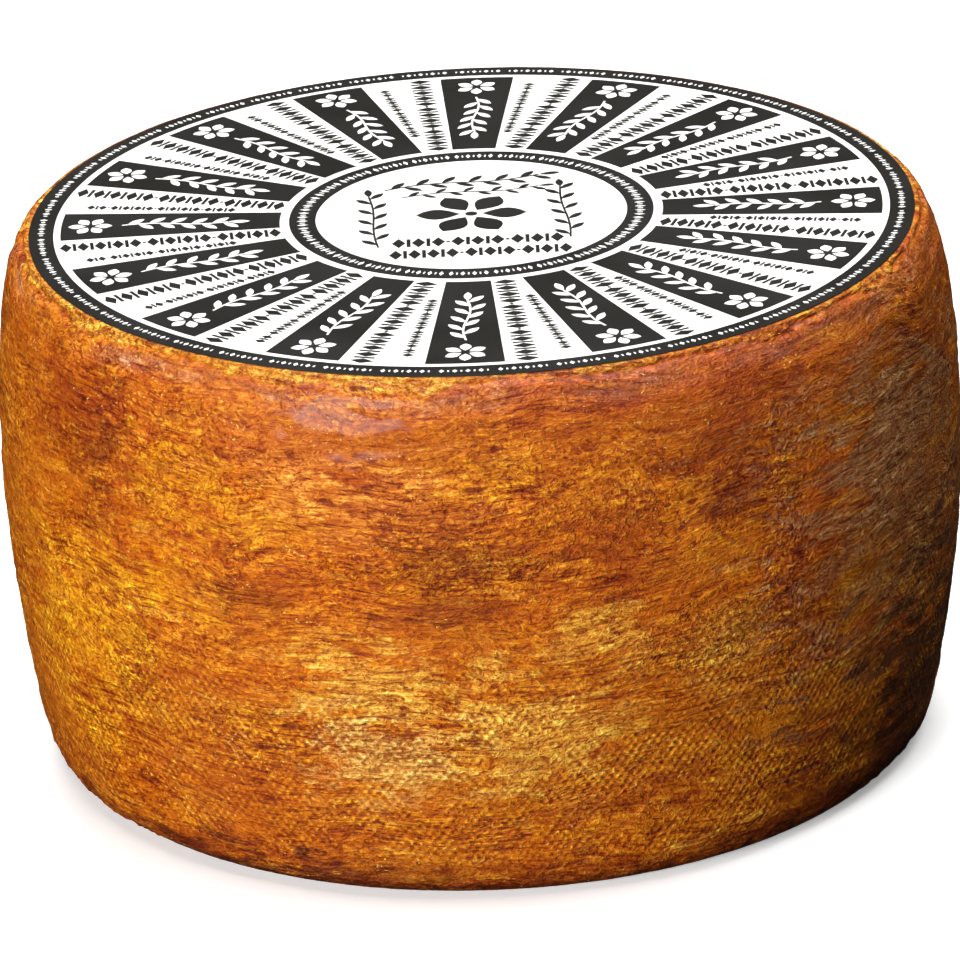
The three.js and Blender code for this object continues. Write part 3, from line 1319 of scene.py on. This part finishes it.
@dataclass
class PaperLabel:
    """The round label: a paper disc with a generic print of rays, beads, sprigs and flowers.

    Sizes of the print are shares of the label's radius.
    """

    paper: float = 0.2 * MM  # its thickness
    turn: float = -1.73  # degrees, of the print about the wheel's axis
    rays: int = 16
    outer_ring: tuple[float, float] = (0.944, 0.9995)
    inner_ring: tuple[float, float] = (0.352, 0.412)
    ray: tuple[float, float] = (0.433, 0.928)
    ray_half_widths: tuple[float, float] = (0.0495, 0.0865)
    ring_steps: int = 192
    sunk: float = 0.01 * MM  # how far each print's foot lies in the paper
    weld: float = 0.002 * MM  # how near corners of a print are made one
    cut: float = 0.05 * MM  # the bevel of the paper's cut edge
    bold_row: Beads = Beads((0.918, -0.045), (0.448, -0.006), 25, 0.054, (9, 17))
    fine_row: Beads = Beads((0.875, 0.047), (0.55, 0.031), 25, 0.028, (3, 11, 19))
    ray_flower: tuple[Point, float] = ((0.862, 0.0), 0.1)  # its place and its width
    ray_sprig: Sprig = Sprig((0.79, 0.0), (0.55, 0.0), 0.007, 5, 0.05)
    outer_border: Border = Border(48, 0.9715, 0.018, 8, 0.84)
    inner_border: Border = Border(24, 0.382, 0.025, 7, 1.95)
    medallion_flower: float = 0.25  # its width
    medallion_dot: float = 0.014
    medallion: tuple[Sprig | Beads, ...] = (
        Sprig((-0.2, 0.17), (0.15, 0.245), 0.012, 6, 0.052, 0.006),
        Sprig((-0.16, 0.118), (0.15, 0.17), 0.01, 5, 0.04),
        Sprig((-0.205, -0.2), (-0.235, 0.13), 0.004, 5, 0.05),
        Sprig((0.225, -0.17), (0.2, 0.16), -0.004, 5, 0.05),
        Beads((-0.16, -0.178), (0.195, -0.168), 17, 0.058, (5, 11)),
        Beads((-0.165, -0.252), (0.215, -0.238), 19, 0.058, (7, 13)),
    )
    radius: float = field(init=False)  # of the label, from the frame
    floor: float = field(init=False)  # where the paper lies

    def build(self) -> list[bpy.types.Object]:
        """Builds the paper and its two prints in the place of the plain disc.

        Returns:
            The three pieces.
        """
        low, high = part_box(LABEL_NODE)
        self.radius = high.x
        self.floor = low.z
        paper = linked("label_paper", self._paper_mesh())
        paper.data.materials.append(PaperFinish(self.radius / MM).material())
        tree = self._ring_tree()
        black = PrintFinish("label_ink", Tint.INK, Tint.THIN_INK)
        white = PrintFinish("label_white", Tint.PAPER, Tint.THIN_WHITE)
        dark = self._print(Ink.DARK, self._dark_motifs(), tree, black)
        light = self._print(Ink.LIGHT, self._light_motifs(), tree, white)
        for piece in (paper, dark, light):
            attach(piece, BODY)
        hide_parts(LABEL_NODE)
        return [paper, dark, light]

    def _paper_mesh(self) -> bpy.types.Mesh:
        """Makes the paper disc, closed, with a softly cut edge.

        Returns:
            The mesh.
        """
        section = [
            (0.5 * self.radius, 0.0),
            (self.radius - self.cut, 0.0),
            (self.radius, self.cut),
            (self.radius, self.paper - self.cut),
            (self.radius - self.cut, self.paper),
            (0.5 * self.radius, self.paper),
        ]
        columns = self.ring_steps
        spots = [(0.0, 0.0, self.floor)]
        for radius, rise in section:
            turns = (k * math.tau / columns for k in range(columns))
            spots += [(*polar(radius, turn), self.floor + rise) for turn in turns]
        spots.append((0.0, 0.0, self.floor + self.paper))
        faces: list[list[int]] = []
        for k in range(columns):
            after = (k + 1) % columns
            faces.append([0, 1 + after, 1 + k])
            for row in range(len(section) - 1):
                a, b = 1 + row * columns, 1 + (row + 1) * columns
                faces.append([a + k, a + after, b + after, b + k])
            last = 1 + (len(section) - 1) * columns
            faces.append([last + k, last + after, len(spots) - 1])
        mesh = bpy.data.meshes.new("label_paper")
        mesh.from_pydata(spots, [], faces)
        return mesh

    def _ring_tree(self) -> NodeGroup:
        """Makes the tree that repeats a flat motif round the axis and gives it a thickness.

        Returns:
            The tree.
        """
        group = NodeGroup("Print Ring", {"Count": 1.0, "Turn": 0.0, "Foot": 0.0, "Thickness": 0.0001})
        given = group.given
        points = group.node("GeometryNodePoints", {"Count": given["Count"]}).outputs[0]
        index = group.node("GeometryNodeInputIndex").outputs[0]
        share = group.math("DIVIDE", index, given["Count"])
        angle = group.add(group.times(share, math.tau), given["Turn"])
        facing = group.node("ShaderNodeCombineXYZ", {2: angle}).outputs[0]
        place = group.node("ShaderNodeCombineXYZ", {2: given["Foot"]}).outputs[0]
        inputs = {"Geometry": points, "Position": place}
        points = group.node("GeometryNodeSetPosition", inputs).outputs[0]
        inputs = {"Points": points, "Instance": given["Geometry"], "Rotation": facing}
        ring = group.node("GeometryNodeInstanceOnPoints", inputs).outputs[0]
        flat = group.node("GeometryNodeRealizeInstances", {0: ring}).outputs[0]
        inputs = {"Mesh": flat, "Offset Scale": given["Thickness"], "Individual": False}
        raised = group.node("GeometryNodeExtrudeMesh", inputs, mode="FACES").outputs["Mesh"]
        under = group.node("GeometryNodeFlipFaces", {0: flat}).outputs[0]
        both = group.node("GeometryNodeJoinGeometry")
        group.feed(both.inputs[0], raised)
        group.feed(both.inputs[0], under)
        inputs = {"Geometry": both.outputs[0], "Distance": self.weld}
        group.end(group.node("GeometryNodeMergeByDistance", inputs).outputs[0])
        return group

    def _print(
        self, ink: Ink, motifs: list[tuple[int, list[Outline]]], tree: NodeGroup, finish: PrintFinish
    ) -> bpy.types.Object:
        """Prints motifs on the label.

        Args:
            ink: which of the two prints this is.
            motifs: each motif's outlines, with how many times it goes round.
            tree: the tree that repeats and raises a motif.
            finish: the ink's finish.

        Returns:
            The print as one piece.
        """
        name, rise = ink.value
        material = finish.material()
        parts = []
        for number, (count, outlines) in enumerate(motifs):
            part = linked(f"{name}_{number}", self._flat_mesh(outlines))
            values = {
                "Count": float(count),
                "Turn": math.radians(self.turn),
                "Foot": self.floor + self.paper - self.sunk,
                "Thickness": self.sunk + rise,
                "Material": material,
            }
            parts.append(grown(part, tree, values))
        return joined(name, parts)

    def _flat_mesh(self, outlines: list[Outline]) -> bpy.types.Mesh:
        """Makes flat faces that look up.

        Args:
            outlines: the faces' outlines, in shares of the label's radius.

        Returns:
            The mesh.
        """
        spots: list[tuple[float, float, float]] = []
        faces = []
        for outline in outlines:
            faces.append(list(range(len(spots), len(spots) + len(outline))))
            spots += [(x * self.radius, y * self.radius, 0.0) for x, y in outline]
        mesh = bpy.data.meshes.new("motif")
        mesh.from_pydata(spots, [], faces)
        return mesh

    def _ring(self, limits: tuple[float, float]) -> list[Outline]:
        """Draws a short segment of a plain ring, to be repeated all the way round.

        Args:
            limits: the ring's inner and outer radius.

        Returns:
            The segment.
        """
        half = math.pi / self.ring_steps
        inner, outer = limits
        corners = ((inner, -half), (outer, -half), (outer, half), (inner, half))
        return [[polar(*corner) for corner in corners]]

    def _ray(self, steps: int = 6) -> list[Outline]:
        """Draws one dark ray along X, with both ends curved about the label's middle.

        Args:
            steps: how many steps each curved end has.

        Returns:
            The ray.
        """
        inner, outer = (math.asin(w / r) for w, r in zip(self.ray_half_widths, self.ray))
        near = [(self.ray[0], inner * (1 - 2 * k / steps)) for k in range(steps + 1)]
        far = [(self.ray[1], outer * (2 * k / steps - 1)) for k in range(steps + 1)]
        return [[polar(*corner) for corner in near + far]]

    def _dark_motifs(self) -> list[tuple[int, list[Outline]]]:
        """Draws everything that is printed dark.

        Returns:
            Each motif's outlines, with how many times it goes round.
        """
        rows = self.bold_row.outlines() + self.fine_row.outlines()
        between = [placed(mark, (0, 0), 180 / self.rays) for mark in rows]
        middle = [*flower((0, 0), self.medallion_flower), dot(self.medallion_dot, 14)]
        for motif in self.medallion:
            middle += motif.outlines()
        return [
            (self.ring_steps, self._ring(self.outer_ring)),
            (self.ring_steps, self._ring(self.inner_ring)),
            (self.rays, self._ray()),
            (self.rays, between),
            (1, middle),
        ]

    def _light_motifs(self) -> list[tuple[int, list[Outline]]]:
        """Draws everything that is left light on the dark print.

        Returns:
            Each motif's outlines, with how many times it goes round.
        """
        on_ray = flower(*self.ray_flower) + self.ray_sprig.outlines()
        borders = [(border.runs, border.outlines()) for border in (self.outer_border, self.inner_border)]
        return [(self.rays, on_ray), *borders]


def joined(name: str, parts: list[bpy.types.Object]) -> bpy.types.Object:
    """Joins objects into one.

    Args:
        name: the name that the one object gets.
        parts: the objects.

    Returns:
        The one object.
    """
    with bpy.context.temp_override(active_object=parts[0], selected_editable_objects=parts):
        bpy.ops.object.join()
    parts[0].name = name
    parts[0].data.name = name
    return parts[0]


# ---------------------------------------------------------------- studio


@dataclass(frozen=True)
class FloorFinish:
    """A plain pale studio floor that runs up into a pale wall, lit evenly far from the wheel."""

    glow: Ramp = Ramp(500, 3500, 0.3, 0.96)  # the floor's own light, by mm from the axis
    cloud: Grain = Grain((300, 300, 300), 3)
    dull_share: Ramp = Ramp(0.3, 0.7, 0.0, 0.3)

    def material(self) -> bpy.types.Material:
        """Makes the floor material.

        Returns:
            The material.
        """
        made = Material("studio_floor")
        graph = made.graph
        place = made.place()
        dull = graph.eased(graph.noise(place, self.cloud), self.dull_share)
        glow = graph.eased(graph.length(graph.vector("MULTIPLY", place, (1, 1, 0))), self.glow)
        made.set(Base_Color=graph.mix(dull, Tint.FLOOR.rgba, Tint.DULL_FLOOR.rgba), Roughness=0.9)
        made.set(Emission_Color=Tint.FLOOR.rgba, Emission_Strength=glow)
        return made.data


@dataclass(frozen=True)
class Lamp:
    """One soft square lamp that aims at the wheel."""

    name: str
    turn: float  # degrees round from the front, positive to the right
    rise: float  # degrees above the horizon
    away: float  # metres
    width: float  # metres
    watts: float
    colour: tuple[float, float, float] = (1.0, 1.0, 1.0)
    shines: bool = True  # whether it is seen in glossy surfaces

    def hang(self, aim: Vector) -> bpy.types.Object:
        """Hangs the lamp.

        Args:
            aim: the point it faces.

        Returns:
            The lamp's object.
        """
        turn, rise = math.radians(self.turn), math.radians(self.rise)
        way = Vector((math.sin(turn) * math.cos(rise), -math.cos(turn) * math.cos(rise), math.sin(rise)))
        light = bpy.data.lights.new(self.name, "AREA")
        light.size = self.width
        light.energy = self.watts
        light.color = self.colour
        lamp = bpy.data.objects.new(self.name, light)
        lamp.visible_glossy = self.shines
        lamp.location = aim + way * self.away
        lamp.rotation_euler = (-way).to_track_quat("-Z", "Y").to_euler()
        bpy.context.scene.collection.objects.link(lamp)
        return lamp


@dataclass
class Studio:
    """The camera, the floor and the lights, in metres."""

    camera_away: float = 2.06
    camera_rise: float = 22.17  # degrees above the horizon
    camera_roll: float = -2.543  # degrees
    lens: float = 293.5
    aim: tuple[float, float, float] = (-0.8 * MM, 0.0, 66.8 * MM)
    floor_radius: float = 5.0
    floor_level: float = -0.02 * MM
    wall_bend: float = 1.5
    wall_height: float = 9.0
    floor_columns: int = 48
    world_grey: float = 0.015
    lamps: tuple[Lamp, ...] = (
        Lamp("key", -32, 15, 2.2, 1.0, 60),
        Lamp("top", 150, 80, 1.9, 2.0, 62),
        Lamp("back", 185, 26, 2.4, 1.2, 34, shines=False),
        Lamp("sheen", 84, 58, 1.6, 0.7, 1.9, (1.0, 0.92, 0.92)),
    )

    def build(self) -> None:
        """Builds everything that isn't part of the wheel."""
        self._camera()
        self._floor()
        self._world()
        for lamp in self.lamps:
            lamp.hang(Vector(self.aim))
            LOG.info("lamp %s", lamp.name)
        bpy.context.scene.view_settings.view_transform = "Standard"

    def _camera(self) -> None:
        """Sets the camera at the viewing angle."""
        rise = math.radians(self.camera_rise)
        aim = Vector(self.aim)
        data = bpy.data.cameras.new("camera")
        data.lens = self.lens
        data.clip_end = 100
        camera = bpy.data.objects.new("camera", data)
        camera.location = aim + self.camera_away * Vector((0, -math.cos(rise), math.sin(rise)))
        level = Euler((math.pi / 2 - rise, 0, 0)).to_matrix()
        roll = Matrix.Rotation(math.radians(self.camera_roll), 3, "Z")
        camera.rotation_euler = (level @ roll).to_euler()
        bpy.context.scene.collection.objects.link(camera)
        bpy.context.scene.camera = camera

    def _floor(self) -> None:
        """Lays the floor and the wall round it, which throw no light on the wheel."""
        run = [(r, self.floor_level) for r in np.linspace(0.1, self.floor_radius, 12)]
        bend = self.wall_bend
        turns = np.linspace(0, math.pi / 2, 10)[1:]
        run += [
            (self.floor_radius + bend * math.sin(t), self.floor_level + bend * (1 - math.cos(t)))
            for t in turns
        ]
        run.append((self.floor_radius + bend, self.wall_height))
        columns = self.floor_columns
        turns = [k * math.tau / columns for k in range(columns)]
        ring = [(math.sin(turn), math.cos(turn)) for turn in turns]
        spots = [(r * x, r * y, z) for r, z in run for x, y in ring]
        faces: list[list[int]] = [[columns - 1 - k for k in range(columns)]]
        for row in range(len(run) - 1):
            start, above = row * columns, (row + 1) * columns
            for k in range(columns):
                after = (k + 1) % columns
                faces.append([start + k, start + after, above + after, above + k])
        mesh = bpy.data.meshes.new("studio_floor")
        mesh.from_pydata(spots, [], faces)
        mesh.polygons.foreach_set("use_smooth", [True] * len(faces))
        mesh.materials.append(FloorFinish().material())
        floor = linked("studio_floor", mesh)
        floor.visible_diffuse = False
        floor.visible_glossy = False

    def _world(self) -> None:
        """Gives the room a faint even light."""
        world = bpy.data.worlds.new("studio")
        world.use_nodes = True
        sky = world.node_tree.nodes["Background"]
        sky.inputs["Color"].default_value = (self.world_grey,) * 3 + (1.0,)
        bpy.context.scene.world = world


# ---------------------------------------------------------------- making


def main() -> None:
    """Builds the studio, the wheel and its label, in that order."""
    logging.basicConfig(level=logging.INFO, format="%(name)s: %(message)s")
    Studio().build()
    wheel = CheeseWheel().build()
    label = PaperLabel().build()
    for piece in (wheel, *label):
        LOG.info("%s: %d faces", piece.name, len(piece.data.polygons))


if __name__ == "__main__":
    main()
